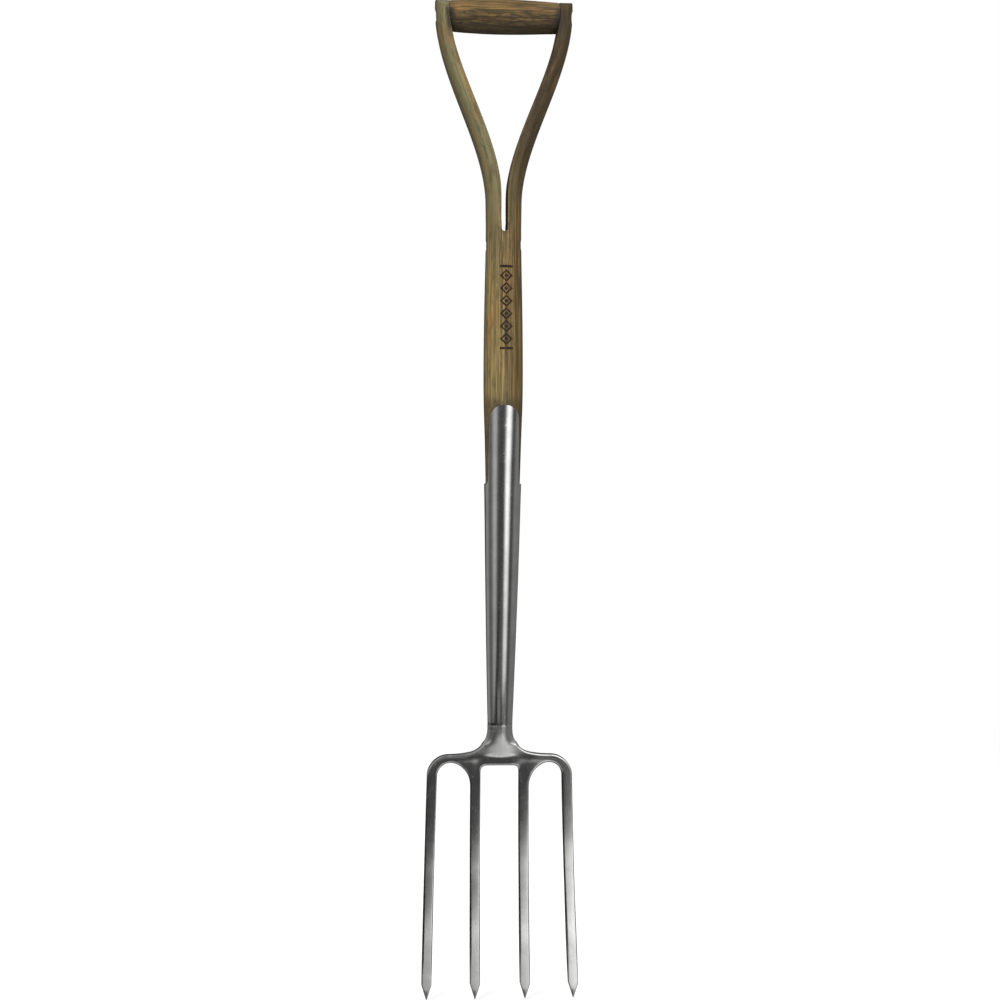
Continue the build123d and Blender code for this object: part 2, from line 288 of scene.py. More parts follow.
def net_faces(solid, number):
    """A quad round every grid edge that the surface cuts."""
    faces = []
    for axis in range(3):
        u, v = (axis + 1) % 3, (axis + 2) % 3
        low = [slice(1, -1)] * 3
        low[axis] = slice(None, -1)
        high = [slice(1, -1)] * 3
        high[axis] = slice(1, None)
        before, after = solid[tuple(low)], solid[tuple(high)]
        for leaving in (True, False):
            cut = (before & ~after) if leaving else (~before & after)
            edge = np.argwhere(cut)
            edge[:, u] += 1
            edge[:, v] += 1
            ring = []
            for du, dv in ((0, 0), (-1, 0), (-1, -1), (0, -1)):
                cell = edge.copy()
                cell[:, u] += du
                cell[:, v] += dv
                ring.append(number[tuple(cell.T)])
            ring = np.stack(ring, 1)
            faces.append(ring if leaving else ring[:, ::-1])
    return np.concatenate(faces)


def skin(field, lines, reach, evening=2):
    """Even quad mesh of the surface where the field is zero, with its exact normals."""
    value = field(*np.meshgrid(*lines, indexing="ij"))
    solid = value < 0
    points, number = net_points(solid, value, lines)
    faces = net_faces(solid, number)
    a = faces.ravel()
    b = np.roll(faces, -1, axis=1).ravel()
    degree = np.bincount(a, minlength=len(points)) + np.bincount(b, minlength=len(points))

    def settle(points, rounds):
        for _ in range(rounds):
            slope = gradient(field, points, 0.05)
            steep = np.maximum((slope**2).sum(1), 0.2)
            shift = np.clip(field(*points.T) / steep, -0.7, 0.7)
            points = points - slope * shift[:, None]
        return points

    points = settle(points, 3)
    for _ in range(evening):
        around = np.zeros_like(points)
        for axis in range(3):
            around[:, axis] += np.bincount(a, points[b, axis], len(points))
            around[:, axis] += np.bincount(b, points[a, axis], len(points))
        points = points + 0.5 * (around / degree[:, None] - points)
        points = settle(points, 2)
    normals = gradient(field, points, reach)
    normals /= np.maximum(np.linalg.norm(normals, axis=1), 1e-6)[:, None]
    return points, faces, normals


def skin_object(name, field, lines, reach):
    """Object with the field's surface, shaded with the exact normals, and its points."""
    points, faces, normals = skin(field, lines, reach)
    obj = make_object(name, points, faces)
    obj.data.normals_split_custom_set_from_vertices(normals.tolist())
    return obj, points


def move_points(obj, moved):
    """Puts an object's points at new places, in millimetres."""
    for vertex, place in zip(obj.data.vertices, moved):
        vertex.co = Vector(place) * MM


def lathe(name, profile, centre, axis, steps=96):
    """Ring-shaped or solid turned piece: profile is (distance along the axis, radius)."""
    along = Vector(axis).normalized()
    side = Vector((0, 0, 1)) if abs(along.z) < 0.9 else Vector((1, 0, 0))
    first = along.cross(side).normalized()
    second = along.cross(first)
    frame_axes = np.array([along, first, second])
    turn = np.linspace(0, 2 * np.pi, steps, endpoint=False)
    points = []
    faces = []
    rows = []
    for run, radius in profile:
        start = len(points)
        if radius == 0:
            points.append([run, 0, 0])
            rows.append([start] * steps)
            continue
        points.extend([run, radius * c, radius * s] for c, s in zip(np.cos(turn), np.sin(turn)))
        rows.append(list(range(start, start + steps)))
    for here, there in zip(rows, rows[1:]):
        for i in range(steps):
            j = (i + 1) % steps
            ring = [here[i], here[j], there[j], there[i]]
            ring = [p for k, p in enumerate(ring) if p != ring[k - 1]]
            if len(ring) > 2:
                faces.append(ring)
    placed = np.array(points) @ frame_axes + np.array(centre)
    return make_object(name, placed, faces)


def soften(obj, degrees=40):
    """Smooth shading with the real corners kept sharp."""
    obj.data.set_sharp_from_angle(angle=math.radians(degrees))


def keep_modifiers(obj):
    """Turns an object's modifiers into plain mesh."""
    shape = bpy.context.evaluated_depsgraph_get()
    bpy.context.view_layer.update()
    finished = bpy.data.meshes.new_from_object(obj.evaluated_get(shape))
    obj.modifiers.clear()
    obj.data = finished


# ---------------------------------------------------------------- ash handle
def arm_field(x, y, z):
    """Half-round arms, with a round crown and the seats of the grip."""
    side = np.abs(x)
    across = y - HANDLE_Y
    at, out = arm_place(side, z)
    t = np.clip((at - SPLIT_HEIGHT) / (ARM_TOP - SPLIT_HEIGHT), 0, 1)
    thickness = ARM_THICKNESS[0] * (1 - t) + ARM_THICKNESS[1] * t + ARM_FULLNESS * t * (1 - t)
    radius = ARM_BACK[0] * (1 - t) + ARM_BACK[1] * t
    back = np.hypot(out - thickness / 2 + radius, across) - radius
    rounding = 2.5 + 2 * t - 4.1 * fade(z, GRIP_HEIGHT - 32, GRIP_HEIGHT - 14)
    # the inner flat stands square against the grip's shoulder
    seated = fade(z, GRIP_HEIGHT - 14, GRIP_HEIGHT)
    flat = -thickness / 2 - out
    flat = (1 - seated) * flat + seated * np.minimum(flat, SHOULDER + 0.02 - side)
    arm = both(back, flat, rounding)
    ring = np.hypot(across, z - GRIP_HEIGHT)
    crown = np.hypot(across, np.maximum(z - GRIP_HEIGHT, 0)) - GRIP_END_RADIUS
    arm = both(arm, crown, 1.0)
    housing = np.maximum(side - SHOULDER - PLAY, ring - GRIP_END_RADIUS - PLAY)
    arm = both(arm, -housing, 0.2)
    seat = np.maximum(side - SPIGOT_END - 0.1, ring - SPIGOT_RADIUS - PLAY)
    return both(arm, -seat, 0.4)


def washer_cut(x, y, z, rivet):
    """Bore for a cross rivet, with a round pocket for each of its washers."""
    centre = middle(rivet)
    washers = extent(rivet + "_washers")[1]
    washer_radius = washers[2] - centre[2]
    seat = washers[0] - 1.45
    ring = np.hypot(y - centre[1], z - centre[2])
    pocket = np.maximum(seat - np.abs(x), ring - washer_radius - PLAY)
    return np.minimum(ring - ROD_RADIUS[rivet] - PLAY, pocket)


def handle_field(x, y, z):
    """Signed distance to the whole wooden handle."""
    shaft = off_centre(x, y, z) - curve(z, SHAFT)
    shaft = both(shaft, -above_section(y, z, WOOD_FOOT), 1.2)
    parted = fade(z, SPLIT_HEIGHT, ARMS_SEPARATE)
    handle = (1 - parted) * shaft + parted * arm_field(x, y, np.maximum(z, SPLIT_HEIGHT - 5))
    slot = np.hypot(x, np.minimum(z - SPLIT_HEIGHT, 0)) - SPLIT_RADIUS
    handle = both(handle, -slot, 1.3)
    for rivet in ROD_RADIUS:
        handle = both(handle, -washer_cut(x, y, z, rivet), 0.5)
    for rivet in STRAP_RIVETS:
        bore = np.hypot(x, z - middle(rivet)[2]) - STRAP_ROD_RADIUS - PLAY
        handle = both(handle, -bore, 0.2)
    return handle


def handle_grain(points):
    """Each point's place in the straight wood the arms were bent from: across, deep, along."""
    x, y, z = points.T
    side = np.abs(x)
    at, out = arm_place(side, z)
    heights = np.linspace(SPLIT_HEIGHT, ARM_TOP + 40, 400)
    lengths = np.sqrt(1 + arm_line(heights)[1] ** 2)
    run = SPLIT_HEIGHT + np.concatenate([[0], np.cumsum(lengths[1:] * np.diff(heights))])
    parted = z > SPREAD_START
    across = np.where(parted, np.sign(x) * (ARM_ROOT + out), x)
    along = np.where(z > SPLIT_HEIGHT, np.interp(at, heights, run), z)
    return np.stack([across, y - centre_y(z), along], 1)


def build_handle():
    """Ash handle, meshed most finely at its seats and pockets."""
    fine = (extent("grip_rivet_washers")[0][2] - 3, GRIP_HEIGHT + GRIP_END_RADIUS + 3)
    throat = (THROAT_HEIGHT - 9, THROAT_HEIGHT + 9)
    lines = (
        grade((-72, -52, 0.8), (-52, -20, 1.1), (-20, 20, 0.9), (20, 52, 1.1), (52, 72, 0.8)),
        grade((-33, 27, 1.0)),
        grade(
            (WOOD_FOOT - 4, WOOD_FOOT + 4, 1.0),
            (WOOD_FOOT + 4, 538, 3.2),
            (538, 588, 1.2),
            (588, throat[0], 2.6),
            (throat[0], throat[1], 0.8),
            (throat[1], 806, 1.0),
            (806, 944, 1.5),
            (944, fine[0], 1.1),
            (fine[0], fine[1], 0.9),
        ),
    )
    obj, points = skin_object("ash_handle_visual", handle_field, lines, 0.3)
    add_vectors(obj, "grain", handle_grain(points))
    x, _, z = points.T
    # painted shade: dark against the grip, in the fork of the split and above the straps
    shoulder = np.abs(np.abs(x) - SHOULDER)
    near_grip = (1 - fade(shoulder, 0.5, 6)) * fade(z, GRIP_HEIGHT - 30, GRIP_HEIGHT - 12)
    near_grip *= 1 - 0.7 * fade(z, GRIP_HEIGHT, GRIP_HEIGHT + 10)
    crotch = 0.4 - 0.4 * fade(np.hypot(x, z - SPLIT_HEIGHT) - SPLIT_RADIUS, 0, 5)
    strap = (1 - fade(z, STRAP_TOP - 2, STRAP_TOP + 14)) * 0.7
    add_values(obj, "painted_shade", np.clip(near_grip + crotch + strap, 0, 1))
    return obj


# ---------------------------------------------------------------- grip
def build_grip():
    """Turned barrel, a little worn where the hand closes round it."""
    half = SHOULDER - PLAY
    bore = ROD_RADIUS["grip_rivet"] + PLAY
    outline = [(-SPIGOT_END, bore), (-SPIGOT_END, SPIGOT_RADIUS - 0.8)]
    outline += [(-SPIGOT_END + 0.8, SPIGOT_RADIUS), (-half, SPIGOT_RADIUS)]
    barrel = []
    for x in np.linspace(-half, half, 107):
        radius = GRIP_END_RADIUS + (GRIP_RADIUS - GRIP_END_RADIUS) * (1 - (x / half) ** 2)
        inset = max(0, EDGE_EASE - (half - abs(x)))
        ease = EDGE_EASE - math.sqrt(max(0, EDGE_EASE**2 - inset**2))
        barrel.append((x, radius - ease))
    outline += [(-half, GRIP_END_RADIUS - 3)] + barrel + [(half, GRIP_END_RADIUS - 3)]
    outline += [(half, SPIGOT_RADIUS), (SPIGOT_END - 0.8, SPIGOT_RADIUS)]
    outline += [(SPIGOT_END, SPIGOT_RADIUS - 0.8), (SPIGOT_END, bore), (-SPIGOT_END, bore)]
    centre = (0, HANDLE_Y, GRIP_HEIGHT)
    obj = lathe("grip_visual", outline, centre, (1, 0, 0), steps=128)
    points = np.array([v.co for v in obj.data.vertices]) / MM - np.array(centre)
    radius = np.hypot(points[:, 1], points[:, 2])
    turn = np.arctan2(points[:, 1], points[:, 2])
    # worn very slightly out of round by the hand
    wear = 0.18 * np.sin(2 * turn + points[:, 0] / 23) + 0.12 * np.sin(3 * turn - points[:, 0] / 31)
    wear *= fade(radius, SPIGOT_RADIUS + 3, GRIP_END_RADIUS) * (1 - fade(np.abs(points[:, 0]), 38, 52))
    scale = 1 - np.maximum(wear, -0.1) / np.maximum(radius, 1) - 0.1 / np.maximum(radius, 1)
    scale = np.where(radius > SPIGOT_RADIUS + 1, scale, 1)
    round_axis = np.stack([np.ones_like(scale), scale, scale], 1)
    move_points(obj, points * round_axis + np.array(centre))
    soften(obj)
    add_vectors(obj, "grain", np.stack([points[:, 2], points[:, 1], points[:, 0]], 1))
    # painted shade at the barrel's ends beside the arms, fainter on its top
    ends = fade(np.abs(points[:, 0]), half - 9, half)
    add_values(obj, "painted_shade", ends * (1 - 0.75 * fade(points[:, 2], 2, 9)))
    return obj


# ---------------------------------------------------------------- socket
def socket_point(height, angle):
    """Point on the outside of the socket; angle 0 is the front."""
    radius = sheet_radius(height)
    slope = centre_slope(height)
    length = math.sqrt(1 + slope * slope)
    x = radius * np.sin(angle)
    run = -radius * np.cos(angle)
    return np.stack([x, centre_y(height) + run / length, height - run * slope / length], -1)


def strap_half_angle(height):
    """Half the angle a strap covers at this height, as its sides and round top are cut."""
    radius = sheet_radius(height)
    corner_start = STRAP_TOP - STRAP_CORNER
    share = (height - SOCKET_MOUTH) / (STRAP_TOP - SOCKET_MOUTH)
    width = STRAP_HALF_WIDTH[0] + (STRAP_HALF_WIDTH[1] - STRAP_HALF_WIDTH[0]) * share
    over = max(0, height - corner_start)
    width -= STRAP_CORNER - math.sqrt(max(0, STRAP_CORNER**2 - over**2))
    under = max(0, SOCKET_MOUTH + MOUTH_FILLET - height)
    flare = MOUTH_FILLET - math.sqrt(max(0, MOUTH_FILLET**2 - under**2))
    return math.asin(min(1, width / radius)) + flare / radius


def strap_heights():
    """Heights of a strap's rows of points, closest together at the mouth and the round top."""
    low = [SOCKET_MOUTH + MOUTH_FILLET * (1 - math.cos(a)) for a in np.linspace(0, np.pi / 2, 9)]
    corner_start = STRAP_TOP - STRAP_CORNER
    straight = list(np.linspace(low[-1], corner_start, 32)[1:-1])
    high = [corner_start + STRAP_CORNER * math.sin(a) for a in np.linspace(0, np.pi / 2, 16)]
    return low + straight + high


def build_socket():
    """Rolled sheet tube that opens into a front and a rear strap."""
    across = 36
    gap = 12
    foot_angle = strap_half_angle(SOCKET_MOUTH)
    fan = np.linspace(-1, 1, across + 1)
    side = np.linspace(foot_angle, np.pi - foot_angle, gap + 1)
    ring = np.concatenate([fan * foot_angle, side[1:-1], np.pi + fan * foot_angle, np.pi + side[1:-1]])
    heights = np.linspace(SOCKET_FOOT, SOCKET_MOUTH, 71)
    points = np.concatenate([socket_point(h, ring) for h in heights])
    faces = []
    size = len(ring)
    for row in range(len(heights) - 1):
        for i in range(size):
            j = (i + 1) % size
            faces.append([row * size + i, row * size + j, (row + 1) * size + j, (row + 1) * size + i])
    top = (len(heights) - 1) * size
    points = list(points)
    for start, turn in ((0, 0), (across + gap, np.pi)):
        below = [top + start + i for i in range(across + 1)]
        for height in strap_heights()[1:]:
            angles = turn + fan * strap_half_angle(height)
            here = list(range(len(points), len(points) + across + 1))
            points.extend(socket_point(height, angles))
            for i in range(across):
                faces.append([below[i], below[i + 1], here[i + 1], here[i]])
            below = here
    obj = make_object("socket_visual", points, faces)
    thickness = obj.modifiers.new("sheet", "SOLIDIFY")
    thickness.thickness = SHEET * MM
    thickness.offset = -1
    thickness.use_even_offset = True
    thickness.use_quality_normals = True
    edge = obj.modifiers.new("edge", "BEVEL")
    edge.width = 0.4 * MM
    edge.segments = 3
    edge.limit_method = "ANGLE"
    edge.angle_limit = math.radians(50)
    cutters = []
    for rivet in STRAP_RIVETS:
        cutter = rivet_blank(rivet, rivet + "_hole", PLAY, reach=4)
        cutter.hide_render = True
        cut = obj.modifiers.new(rivet, "BOOLEAN")
        cut.operation = "DIFFERENCE"
        cut.solver = "EXACT"
        cut.object = cutter
        cutters.append(cutter)
    keep_modifiers(obj)
    for cutter in cutters:
        bpy.data.objects.remove(cutter)
    soften(obj, 35)
    return obj


# ---------------------------------------------------------------- rivets, washers, weld
def rivet_seat(rivet):
    """Where a strap rivet's countersunk heads start, from the middle of the shaft."""
    return float(sheet_radius(middle(rivet)[2])) - SHEET - 0.2


def rivet_blank(rivet, name, gap, reach):
    """Strap rivet, front to back, with both heads running on past the sheet."""
    height = middle(rivet)[2]
    seat = rivet_seat(rivet)
    shank = STRAP_ROD_RADIUS + gap
    flare = (STRAP_HEAD_RADIUS - STRAP_ROD_RADIUS) / SHEET
    profile = [(0, shank), (seat, shank)]
    profile += [(seat + run, shank + flare * run) for run in np.linspace(0.2, SHEET + 0.2, 5)]
    rim = profile[-1][1]
    if reach:
        profile += [(seat + SHEET + reach, rim), (seat + SHEET + reach, 0)]
    else:
        profile += [(seat + SHEET + 0.2, rim * share) for share in (0.8, 0.6, 0.4, 0.2, 0)]
    mirrored = [(-run, radius) for run, radius in reversed(profile[1:])]
    centre = (0, float(centre_y(height)), height)
    return lathe(name, mirrored + profile, centre, (0, 1, 0), steps=64)


def build_strap_rivet(rivet):
    """Rivet whose heads are ground off just proud of the straps."""
    obj = rivet_blank(rivet, rivet + "_visual", 0, reach=0)
    for vertex in obj.data.vertices:
        x, y, z = np.array(vertex.co) / MM
        centre = float(centre_y(z))
        radius = float(sheet_radius(z))
        depth = math.sqrt(radius**2 - x**2)
        ease = 0.08 - 0.1 * fade(math.hypot(x, z - middle(rivet)[2]), 3.2, 4.4)
        if abs(y - centre) > depth - 0.35:
            y = centre + math.copysign(depth + ease, y - centre)
            vertex.co = Vector((x * MM, y * MM, z * MM))
    soften(obj)
    return obj


def build_cross_rivet(rivet):
    """Rod with a peened, slightly domed head at each end."""
    centre = middle(rivet)
    rod = ROD_RADIUS[rivet]
    end = extent(rivet)[1][0]
    face = extent(rivet + "_washers")[1][0] + 0.02
    rim = rod + 1.6
    dome = []
    for share in np.linspace(0, 1, 9):
        lift = (end - face - 0.25) * math.sqrt(1 - (share * 0.97) ** 2)
        dome.append((face + 0.25 + lift, rim * share))
    profile = [(run, radius) for run, radius in reversed(dome)]
    half = [(0, rod), (face, rod), (face, rim - 0.15), (face + 0.15, rim)] + profile
    mirrored = [(-run, radius) for run, radius in reversed(half[1:])]
    obj = lathe(rivet + "_visual", mirrored + half, centre, (1, 0, 0), steps=64)
    soften(obj, 50)
    return obj


def build_washers(rivet):
    """Two washers with eased rims, one in each pocket."""
    centre = middle(rivet)
    outer = extent(rivet + "_washers")[1]
    rim = outer[2] - centre[2]
    hole = ROD_RADIUS[rivet] + PLAY
    face = outer[0]
    back = face - 1.4
    parts = []
    for sign in (-1, 1):
        profile = [(back, hole), (back, rim - 0.2), (back + 0.2, rim), (face - 0.45, rim)]
        profile += [(face - 0.15, rim - 0.13), (face, rim - 0.5), (face, hole + 0.2)]
        profile += [(face - 0.2, hole), (back, hole)]
        profile = [(sign * run, radius) for run, radius in profile]
        if sign < 0:
            profile.reverse()
        parts.append(lathe("washer", profile, centre, (1, 0, 0), steps=72))
    return join(parts, rivet + "_washers_visual")


def join(parts, name):
    """One object from several."""
    points = []
    faces = []
    for part in parts:
        start = len(points)
        points.extend(np.array(v.co) / MM for v in part.data.vertices)
        faces.extend([start + i for i in face.vertices] for face in part.data.polygons)
        bpy.data.objects.remove(part)
    obj = make_object(name, points, faces)
    soften(obj)
    return obj


def build_weld():
    """Weld ring between neck and socket, dressed smooth but not quite even."""
    slope = float(centre_slope(SOCKET_FOOT))
    low = NECK_TOP - 0.6
    high = SOCKET_FOOT + 0.6
    inner = STUB_RADIUS + PLAY
    profile = [(low, inner)]
    for share in np.linspace(0, 1, 13):
        bead = NECK_TOP_RADIUS - 0.08 + 0.16 * math.sin(math.pi * share) ** 0.6
        profile.append((low + (high - low) * share, bead))
    profile += [(high, inner), (low, inner)]
    profile = [(run - NECK_TOP, radius) for run, radius in profile]
    centre = (0, float(centre_y(NECK_TOP)), NECK_TOP)
    obj = lathe("neck_weld_visual", profile, centre, (0, slope, 1), steps=144)
    for vertex in obj.data.vertices:
        x, y, z = np.array(vertex.co) / MM
        middle_y = float(centre_y(z))
        radius = math.hypot(x, y - middle_y)
        if radius > STUB_RADIUS + 1:
            turn = math.atan2(x, y - middle_y)
            lift = 1 + (0.06 * math.sin(19 * turn) + 0.05 * math.sin(31 * turn + 1)) / radius
            vertex.co = Vector((x * lift * MM, (middle_y + (y - middle_y) * lift) * MM, z * MM))
    soften(obj)
    return obj


# ---------------------------------------------------------------- forged head
def flow(points, tangents, steps):
    """Points along a smooth curve through the given points and directions."""
    out = []
    for (p, q), (m, n) in zip(zip(points, points[1:]), zip(tangents, tangents[1:])):
        p, q, m, n = (np.array(v, float) for v in (p, q, m, n))
        reach = np.linalg.norm(q - p)
        m, n = m / np.linalg.norm(m) * reach, n / np.linalg.norm(n) * reach
        for t in np.linspace(0, 1, steps, endpoint=False):
            out.append(
                (1 + 2 * t) * (1 - t) ** 2 * p
                + t * (1 - t) ** 2 * m
                + t * t * (3 - 2 * t) * q
                - t * t * (1 - t) * n
            )
    out.append(np.array(points[-1], float))
    return out


def head_outline():
    """Right half of the web and tines as seen from the front, from the middle round to it."""
    opening = 233
    corner = 6
    inner_root, inner_tip = 24.4, 25.1
    outer_root = 68.3
    inside = inner_root - TINE_HALF
    shoulder_radius = 22
    shoulder = (outer_root + TINE_HALF - shoulder_radius, 222)
    shoulder_top = shoulder[1] + shoulder_radius
    line = [np.array((0, opening))]
    for a in np.linspace(0, np.pi / 2, 14):
        run, drop = corner * (1 - math.sin(a)), corner * (1 - math.cos(a))
        line.append(np.array((inside - run, opening - drop)))
    line.append(np.array((inner_tip - TINE_HALF, POINT_LENGTH)))
    line.append(np.array((inner_tip, 0)))
    line.append(np.array((inner_tip + TINE_HALF, POINT_LENGTH)))
    crest = (49.5, 236)
    line += flow(
        [(inner_root + TINE_HALF, 211), (34.8, 227.5), crest],
        [(0, 1), (20.1, 25.5), (1, 0)],
        26,
    )
    side = outer_root - TINE_HALF
    reach, rise = side - crest[0], crest[1] - shoulder[1]
    for a in np.linspace(0, np.pi / 2, 28)[1:]:
        line.append(np.array((crest[0] + reach * math.sin(a), shoulder[1] + rise * math.cos(a))))
    line.append(np.array((TINE_TIP - TINE_HALF, POINT_LENGTH)))
    line.append(np.array((TINE_TIP, 0)))
    line.append(np.array((TINE_TIP + TINE_HALF, POINT_LENGTH)))
    for a in np.linspace(0, np.pi / 2, 40):
        line.append(np.array(shoulder) + shoulder_radius * np.array((math.cos(a), math.sin(a))))
    crown = (16.5, 255)
    sweep = [(shoulder[0], shoulder_top), (30, 246.2), crown]
    line += flow(sweep, [(-1, 0), (-1, 0.22), (-1, 1.3)], 20)[1:]
    line.append(np.array((0, WEB_CROWN)))
    return np.array(line)


class OutlineTable:
    step = 0.4

    def __init__(self, line):
        self.low = np.array((-1.0, -4.0))
        count = (np.array((84.0, 268.0)) / self.step).astype(int)
        xs = self.low[0] + self.step * np.arange(count[0])
        zs = self.low[1] + self.step * np.arange(count[1])
        x, z = (g.ravel() for g in np.meshgrid(xs, zs, indexing="ij"))
        x = np.abs(x)
        nearest = np.full(x.shape, 1e9)
        inside = np.zeros(x.shape, bool)
        closed = np.concatenate([line, line[:1]])
        for i, (p, q) in enumerate(zip(closed, closed[1:])):
            run = q - p
            crosses = (p[1] > z) != (q[1] > z)
            place = p[0] + run[0] * (z - p[1]) / (run[1] if run[1] else 1)
            inside ^= crosses & (x < place)
            if i == len(line) - 1:
                continue
            t = np.clip(((x - p[0]) * run[0] + (z - p[1]) * run[1]) / max(run @ run, 1e-9), 0, 1)
            nearest = np.minimum(nearest, (x - p[0] - t * run[0]) ** 2 + (z - p[1] - t * run[1]) ** 2)
        nearest = np.sqrt(nearest)
        self.table = np.where(inside, -nearest, nearest).reshape(count)

    def __call__(self, side, z):
        u = np.clip((side - self.low[0]) / self.step, 0, self.table.shape[0] - 1.001)
        v = np.clip((z - self.low[1]) / self.step, 0, self.table.shape[1] - 1.001)
        i, j = u.astype(int), v.astype(int)
        s, t = u - i, v - j
        low = self.table[i, j] * (1 - s) + self.table[i + 1, j] * s
        high = self.table[i, j + 1] * (1 - s) + self.table[i + 1, j + 1] * s
        return low * (1 - t) + high * t


outline_distance = OutlineTable(head_outline())


def tine_y(z):
    """Middle of the head from front to back: set forward at the points, hollow in front."""
    tip = HANDLE_Y + 22
    crown = float(centre_y(WEB_CROWN))
    y0, y1, y2, y3 = tip, tip + 2.2, (tip + crown) / 2 + 9, crown
    z1, z2, z3 = POINT_LENGTH, WEB_CROWN / 2, WEB_CROWN
    long = y1 * (z - z2) * (z - z3) / ((z1 - z2) * (z1 - z3))
    long = long + y2 * (z - z1) * (z - z3) / ((z2 - z1) * (z2 - z3))
    long = long + y3 * (z - z1) * (z - z2) / ((z3 - z1) * (z3 - z2))
    return np.where(z > z1, long, y0 + (y1 - y0) * z / z1)


def forged_relief(side, z):
    """How much the hammer and the grinder took off the front of the web."""
    hollow = 0.3 * np.exp(-((side / 14) ** 2) - ((z - 244) / 9) ** 2)
    root = 0.9 * np.exp(-(((side - 22) / 6) ** 2) - ((z - 230) / 11) ** 2)
    ridge = 0.5 * np.exp(-(((side - 34) / 11) ** 2) - ((z - 241) / 4.5) ** 2)
    return hollow + root - ridge


def head_field(x, y, z):
    """Signed distance to the forged head."""
    side = np.abs(x)
    middle_y = tine_y(z)
    half = curve(z, ((0, 0.45), (8, 2.4), (16, 3.75), (130, 5.0), (260, 6.25)))
    outline = outline_distance(side, z)
    belly = 0.25 * (1 - np.clip(-outline, 0, TINE_HALF) / TINE_HALF) ** 2
    front = middle_y - y - half + belly + forged_relief(side, z)
    rear = y - middle_y - half + belly
    edge = curve(z, ((0, 0.25), (6, 0.5), (22, 1.0), (200, 1.1), (240, 1.8)))
    plate = both(outline, np.maximum(front, rear), edge)
    # round neck, wider and flatter where it runs into the web
    up = z + centre_slope(NECK_TOP) * (y - centre_y(NECK_TOP))
    wide = curve(up, ((WEB_TOP, 19), (254, 17), (262, 13.7), *NECK_ROUND))
    deep = curve(up, ((WEB_TOP, 4.5), (250, 7.4), (257, 9.9), (264, 11.7), *NECK_ROUND))
    u, v = x / wide, (y - centre_y(z)) / deep
    radial = np.hypot(u, v)
    neck = radial * (radial - 1) / np.maximum(np.hypot(u / wide, v / deep), 1e-3)
    neck = both(neck, WEB_TOP - z, 3)
    neck = np.maximum(neck, above_section(y, z, NECK_TOP))
    head = joined(plate, neck, 5)
    head = np.maximum(head, above_section(y, z, NECK_TOP))
    stub = both(off_centre(x, y, z) - STUB_RADIUS, above_section(y, z, STUB_TOP), 1)
    stub = np.maximum(stub, STUB_FOOT - z)
    return np.minimum(head, stub)


def build_head():
    """Neck, web and tines in one forging."""
    lines = (
        grade((-80.25, 80.25, 0.75)),
        grade((2, 38, 0.75)),
        grade((-1.5, 22, 0.6), (22, 212, 1.7), (212, 276, 0.8), (276, 315, 2.0)),
    )
    return skin_object("head_visual", head_field, lines, 0.4)[0]


